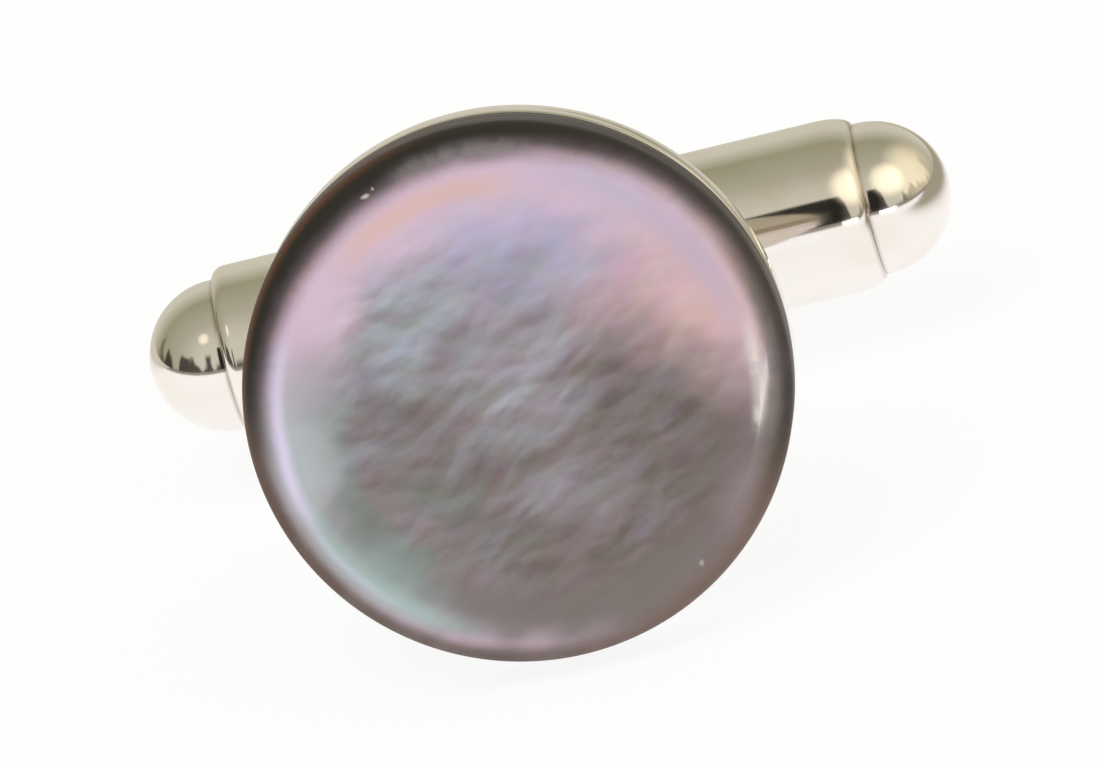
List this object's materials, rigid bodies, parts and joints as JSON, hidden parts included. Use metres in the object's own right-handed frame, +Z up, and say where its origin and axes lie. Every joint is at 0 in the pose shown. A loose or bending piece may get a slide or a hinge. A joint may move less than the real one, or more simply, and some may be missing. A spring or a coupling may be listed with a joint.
{
  "type": "cufflink",
  "caption": "Bullet-back cufflink: a round mother-of-pearl disc on a silver plate, with a forked post and a capsule toggle that swings in line with the post to pass a buttonhole.",
  "frame": {"origin": "on the table, under the middle of the link's bounding box, where it rests on the plate's rim and the end of the lower arm", "axes": "+Z up from the table, X along the toggle as worn, -Y the way the pearl faces, tipped up by about 11 degrees"},
  "size_m": [0.022, 0.0208, 0.0142],
  "materials": {
    "pearl": "gloss",
    "adhesive": "gloss",
    "polished_silver": "polished",
    "solder": "satin",
    "spring_steel": "satin"
  },
  "bodies": {
    "head": {"pearl_disc": "pearl", "adhesive_layer": "adhesive", "back_plate": "polished_silver", "solder_layer": "solder", "post_yoke": "polished_silver", "hinge_rivet": "polished_silver"},
    "toggle": {"barrel_tube": "polished_silver", "end_cap_left": "polished_silver", "end_cap_right": "polished_silver", "hairpin_spring": "spring_steel"}
  },
  "joints": [
    {"name": "toggle_swing", "type": "hinge", "parent": "head", "child": "toggle", "pos_m": [0, 0.00771, 0.00415], "axis": [0, 0.192, 0.9814], "range_deg": [-90, 90], "deforming": ["hairpin_spring"]}
  ]
}
